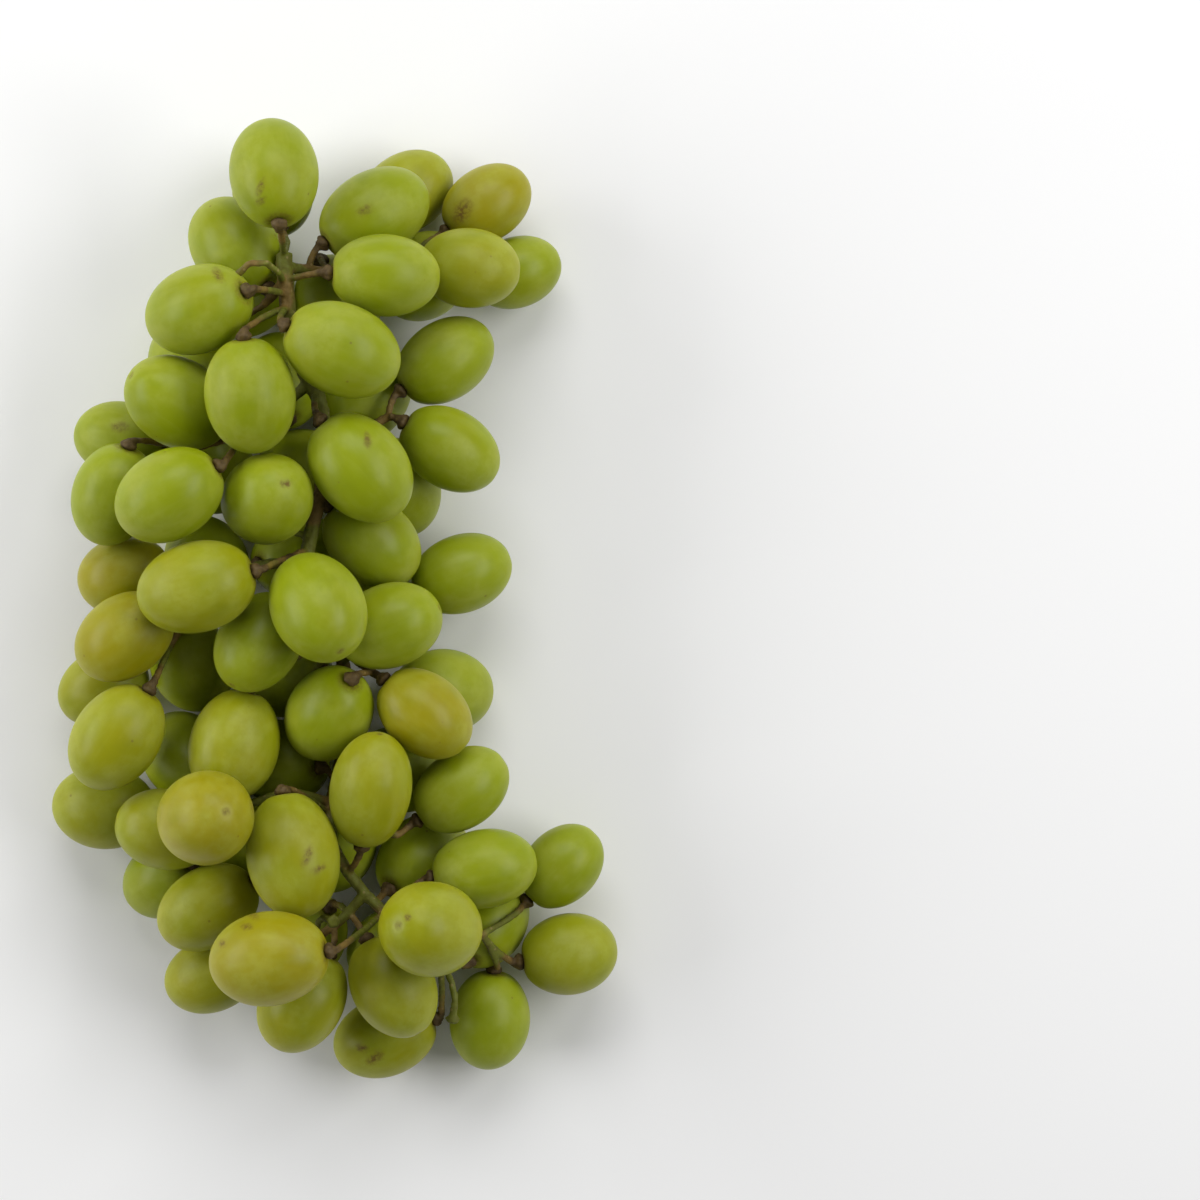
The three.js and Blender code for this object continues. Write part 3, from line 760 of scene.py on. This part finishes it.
@dataclass
class Berries:
    """All berries of the bunch, found in the frame.

    Each node is one berry, apart from those that hold some of the lowest ones, whose rough
    middles are given in millimetres.
    """

    nodes: dict[str, bpy.types.Object]
    hidden: dict[str, tuple[tuple[int, int, int], ...]] = field(
        default_factory=lambda: {
            "crown_left_under_berries": ((-12, 85, 13), (-18, 65, 10)),
            "crown_right_under_berries": ((0, 63, 10), (18, 68, 10)),
            "upper_left_under_berries": ((-25, 30, 10), (-30, 50, 10), (-11, 47, 10)),
            "upper_right_under_berries": ((13, 25, 10), (-6, 28, 10)),
            "middle_left_under_berries": ((-26, 9, 10), (-7, 10, 10), (-29, -11, 12)),
            "middle_right_under_berries": (
                (8, 0, 10), (0, -21, 26), (22, -17, 10), (-10, -14, 10),
            ),
            "lower_left_under_berries": ((-31, -31, 10), (-18, -49, 10), (-35, -56, 9)),
            "lower_right_under_berries": (
                (-11, -32, 10), (13, -33, 10), (0, -49, 10), (18, -51, 10),
            ),
            "tail_right_under_berries": ((12, -70, 10), (31, -64, 10)),
        }
    )
    golden: tuple[str, ...] = (
        "crown_right_berry_3", "middle_left_berry_1", "middle_left_berry_3",
        "lower_left_berry_1", "middle_right_berry_4", "tail_left_berry_1",
    )
    tries: int = 800
    cluster_tries: int = 12000
    scuffs: tuple[Scuff, ...] = (
        Scuff("crown_left_berry_1", -11.4, 81.8, 2.2, 0.8, 70),
        Scuff("crown_left_berry_1", -11.4, 79.3, 1.4, 0.7, 20),
        Scuff("crown_right_berry_2", 7.8, 79.3, 2.0, 0.8, 30),
        Scuff("crown_right_berry_3", 26.6, 80.6, 3.4, 2.0, 60),
        Scuff("crown_left_berry_3", -20.2, 65.4, 2.2, 1.0, 120),
        Scuff("upper_left_berry_3", -42.5, 36.7, 2.2, 1.0, 0),
        Scuff("upper_right_berry_1", 9.0, 33.1, 2.0, 0.8, 100),
        Scuff("lower_left_berry_1", -15.9, -31.8, 1.8, 0.9, 30),
        Scuff("lower_left_berry_1", -13.0, -37.4, 5.5, 1.2, 95),
        Scuff("lower_right_berry_1", -2.9, -48.6, 2.4, 0.9, 70),
        Scuff("lower_right_berry_1", -0.7, -51.2, 1.6, 0.8, 20),
        Scuff("tail_left_berry_1", -14.9, -59.3, 3.6, 0.8, -25),
        Scuff("tail_left_berry_1", -14.3, -62.0, 1.6, 0.7, 0),
        Scuff("tail_left_berry_1", -19.1, -65.3, 0.9, 0.9, 0),
        Scuff("tail_left_berry_5", 8.7, -91.7, 2.6, 1.2, 40),
        Scuff("tail_left_berry_5", 6.1, -89.7, 1.6, 0.9, 0),
        Scuff("upper_left_berry_6", -6.5, 24.4, 0.9, 0.9, 0),
        Scuff("tail_right_berry_1", 17.3, -59.9, 0.9, 0.9, 0),
    )
    olive: tuple[str, ...] = (
        "crown_right_berry_1", "crown_right_berry_5", "middle_left_berry_4",
        "middle_left_berry_5", "lower_left_berry_2", "lower_left_berry_4", "lower_right_berry_1",
        "lower_right_berry_2", "tail_left_berry_2", "tail_left_berry_4", "tail_left_berry_5",
        "tail_right_berry_3", "middle_right_berry_6", "tail_left_berry_3", "lower_left_berry_3",
        "tail_right_berry_1", "middle_left_berry_2",
    )

    def ripeness(self, node: str) -> float:
        """How golden the berries of a node are."""
        if node in self.golden:
            return Ripeness.AMBER.value
        return Ripeness.OLIVE.value if node in self.olive else Ripeness.GREEN.value

    def pieces(self) -> list[BerryPiece]:
        """One piece for each node that holds berries, in the order of their names."""
        made = []
        for number, name in enumerate(sorted(set(self.nodes) - {"stem"})):
            points = unique_points(self.nodes[name].data)
            middles = np.array(self.hidden.get(name, [points.mean(axis=0) / MM])) * MM
            groups = grouped(points, middles)
            tries = self.tries if len(middles) == 1 else self.cluster_tries
            ovals = [Oval.fitted(points, groups == i, tries) for i in range(len(middles))]
            berries = [
                Berry(oval, self.ripeness(name), 10 * number + i) for i, oval in enumerate(ovals)
            ]
            scuffs = [scuff for scuff in self.scuffs if scuff.node == name]
            made.append(BerryPiece(name, berries, scuffs))
        return made


# ---- Stem --------------------------------------------------------------------------------


@dataclass
class StemSkeleton:
    """The woody skeleton: the main stem, its branches, and a stalk and a cap for each berry."""

    node: bpy.types.Object
    seats: list[Oval]
    voxel: float = 0.34 * MM
    smoothing: int = 4
    cap_radius: float = 1.65 * MM
    cap_height: float = 1.7 * MM
    cap_sink: float = 0.75 * MM  # from the seat on the oval down to the dent's floor
    cap_rings: int = 9
    cap_sides: int = 16
    cap_squareness: float = 0.7
    wart_edge: tuple[float, float] = (1.8 * MM, 3.0 * MM)
    green_edge: tuple[float, float] = (3.5 * MM, 10.0 * MM)
    lift: float = 0.1 * MM
    waves: tuple[tuple[float, float], ...] = ((3.0, 0.05), (1.6, 0.05), (1.1, 0.06))
    wave_ways: int = 5
    plain_share: float = 0.6
    wart_share: float = 0.9
    block: int = 20000
    seed: int = 12

    def cap(self, seat: Oval) -> Shell:
        """A cap: a low round cushion, widest near its berry, that rests in the berry's dent.

        Its distance from the axis is radius·(sin t)^squareness for t from 0 to a half turn, and
        its height goes by -cos t over the cap's height.

        Args:
            seat: the oval of the berry that sits on it.

        Returns:
            The closed surface.
        """
        first, second = across_axes(seat.pole)
        angle = (np.arange(self.cap_rings) + 1.0)[:, None] / (self.cap_rings + 1.0) * math.pi
        turn = np.arange(self.cap_sides)[None] / self.cap_sides * 2.0 * math.pi
        radius = self.cap_radius * np.sin(angle) ** self.cap_squareness * np.ones_like(turn)
        height = -np.cos(angle) * np.ones_like(turn) * self.cap_height / 2.0
        middle = seat.seat() + seat.pole * (self.cap_height / 2.0 - self.cap_sink)
        rings = (
            middle
            + (radius * np.cos(turn))[..., None] * first
            + (radius * np.sin(turn))[..., None] * second
            + height[..., None] * seat.pole
        )
        half = self.cap_height / 2.0 * seat.pole
        return Shell(middle - half, rings, middle + half)

    def build(self, bark: bpy.types.Material) -> bpy.types.Object:
        """Makes the stem in place of its node.

        The node's solid and the caps are joined by voxels, smoothed, and then each point moves
        along its normal by waves of several lengths, which are largest on the caps.

        Args:
            bark: the bark's material.

        Returns:
            The piece.
        """
        copy = self.node.copy()
        copy.data = self.node.data.copy()
        bpy.context.scene.collection.objects.link(copy)
        caps = mesh_from_shells("stem_skeleton", [self.cap(seat) for seat in self.seats])
        copy.parent = None
        for key in [k for k in copy.keys() if k.startswith("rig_")]:
            del copy[key]
        with bpy.context.temp_override(
            active_object=caps, selected_editable_objects=[caps, copy], object=caps
        ):
            bpy.ops.object.join()
        weld = caps.modifiers.new("weld", "WELD")
        weld.merge_threshold = 0.01 * MM
        remesh = caps.modifiers.new("voxels", "REMESH")
        remesh.mode, remesh.voxel_size, remesh.use_smooth_shade = "VOXEL", self.voxel, True
        smooth = caps.modifiers.new("smooth", "SMOOTH")
        smooth.factor, smooth.iterations = 0.5, self.smoothing
        graph = bpy.context.evaluated_depsgraph_get()
        mesh = bpy.data.meshes.new_from_object(caps.evaluated_get(graph))
        caps.modifiers.clear()
        caps.data = mesh
        self._roughen(mesh)
        mesh.materials.clear()
        mesh.materials.append(bark)
        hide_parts("stem")
        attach(caps, "root")
        return caps

    def _roughen(self, mesh: bpy.types.Mesh) -> None:
        """Moves each point along its normal, and stores how near to a cap or far from one it is.

        Args:
            mesh: the smoothed mesh of the stem.
        """
        points = mesh_points(mesh)
        normals = np.empty(len(points) * 3, np.float32)
        mesh.vertices.foreach_get("normal", normals)
        normals = normals.reshape(-1, 3).astype(float)
        middles = np.stack([seat.seat() + seat.pole * 0.3 * MM for seat in self.seats])
        gaps = np.full(len(points), np.inf)
        for start in range(0, len(points), self.block):
            part = slice(start, start + self.block)
            offsets = points[part, None] - middles[None]
            gaps[part] = np.linalg.norm(offsets, axis=2).min(axis=1)
        cap = 1.0 - smoothstep(*self.wart_edge, gaps)
        rough = self.plain_share + self.wart_share * cap
        rng = np.random.default_rng(self.seed)
        lift = np.full(len(points), self.lift)
        for length, height in self.waves:
            ways = rng.normal(size=(self.wave_ways, 3))
            ways /= np.linalg.norm(ways, axis=1)[:, None]
            phases = rng.uniform(0.0, 2.0 * math.pi, self.wave_ways)
            waves = np.sin(points @ ways.T * (2.0 * math.pi / (length * MM)) + phases)
            lift += waves.sum(axis=1) / math.sqrt(self.wave_ways) * height * MM * rough
        points += normals * lift[:, None]
        points[:, 2] = np.maximum(points[:, 2], 0.0)
        mesh.vertices.foreach_set("co", points.astype(np.float32).ravel())
        set_attribute(mesh, "cap", cap)
        set_attribute(mesh, "thickness", smoothstep(*self.green_edge, gaps))
        mesh.polygons.foreach_set("use_smooth", np.ones(len(mesh.polygons), bool))
        mesh.update()


# ---- Studio ------------------------------------------------------------------------------


@dataclass
class Studio:
    """The floor, the soft lights and the camera, which looks straight down."""

    centre: tuple[float, float] = (0.0546, 0.0017)
    height: float = 0.730
    view_width: float = 0.240
    view_level: float = 0.030
    floor_half: float = 3.0
    air: float = 0.18

    def build(self) -> None:
        """Makes the camera first, then the floor and the lights."""
        self.camera()
        self.floor()
        self.softbox("left_softbox", (-0.62, 0.10, 0.34), (0.30, 0.70), 3.3)
        self.softbox("right_softbox", (0.62, 0.12, 0.62), (0.34, 0.70), 4.0)
        self.softbox("back_softbox", (0.05, 0.75, 0.75), (0.80, 0.45), 5.0)
        world = bpy.data.worlds.new("studio_air")
        world.use_nodes = True
        background = world.node_tree.nodes["Background"]
        background.inputs["Color"].default_value = (1.0, 1.0, 1.0, 1.0)
        background.inputs["Strength"].default_value = self.air
        bpy.context.scene.world = world
        bpy.context.scene.view_settings.view_transform = "Standard"

    def camera(self) -> None:
        """A long lens above the bunch, with +Y at the top of the picture."""
        lens = bpy.data.cameras.new("camera")
        lens.sensor_width = 36.0
        lens.lens = lens.sensor_width * (self.height - self.view_level) / self.view_width
        lens.clip_start, lens.clip_end = 0.01, 20.0
        camera = bpy.data.objects.new("camera", lens)
        camera.location = (*self.centre, self.height)
        bpy.context.scene.collection.objects.link(camera)
        bpy.context.scene.camera = camera

    def floor(self) -> None:
        """A wide, flat floor at z = 0."""
        half = self.floor_half
        corners = [(-half, -half, 0), (half, -half, 0), (half, half, 0), (-half, half, 0)]
        mesh = bpy.data.meshes.new("floor")
        mesh.from_pydata(corners, [], [(0, 1, 2, 3)])
        mesh.materials.append(PaleSweep().material())
        floor = bpy.data.objects.new("floor", mesh)
        bpy.context.scene.collection.objects.link(floor)

    @staticmethod
    def softbox(name: str, place: tuple[float, float, float], size: tuple[float, float],
                power: float) -> None:
        """A soft rectangular light that faces the bunch.

        Args:
            name: its name.
            place: where its middle is.
            size: its width and its length, which lies along Y where it can.
            power: its power in watts.
        """
        light = bpy.data.lights.new(name, "AREA")
        light.shape, light.size, light.size_y, light.energy = "RECTANGLE", *size, power
        box = bpy.data.objects.new(name, light)
        away = np.array(place) - np.array([0.0, 0.0, 0.02])
        away /= np.linalg.norm(away)
        along = np.array([0.0, 1.0, 0.0]) if abs(away[1]) < 0.6 else np.array([0.0, 0.0, 1.0])
        side = np.cross(along, away)
        side /= np.linalg.norm(side)
        matrix = np.eye(4)
        matrix[:3, 0], matrix[:3, 1], matrix[:3, 2] = side, np.cross(away, side), away
        matrix[:3, 3] = place
        box.matrix_world = matrix.T.tolist()
        bpy.context.scene.collection.objects.link(box)


def main() -> None:
    """Builds the bunch and the studio."""
    logging.basicConfig(level=logging.INFO, format="%(message)s")
    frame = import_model()
    Studio().build()
    effects = SurfaceEffects()
    skin = GrapeSkin().material(effects)
    pieces = Berries(frame["nodes"]).pieces()
    for piece in pieces:
        made = piece.build(skin)
        LOG.info("%s: %d berries", made.name, len(piece.berries))
    seats = [berry.oval for piece in pieces for berry in piece.berries]
    stem = StemSkeleton(frame["nodes"]["stem"], seats).build(StemBark().material(effects))
    LOG.info("%s: %d faces, %d caps", stem.name, len(stem.data.polygons), len(seats))


if __name__ == "__main__":
    main()
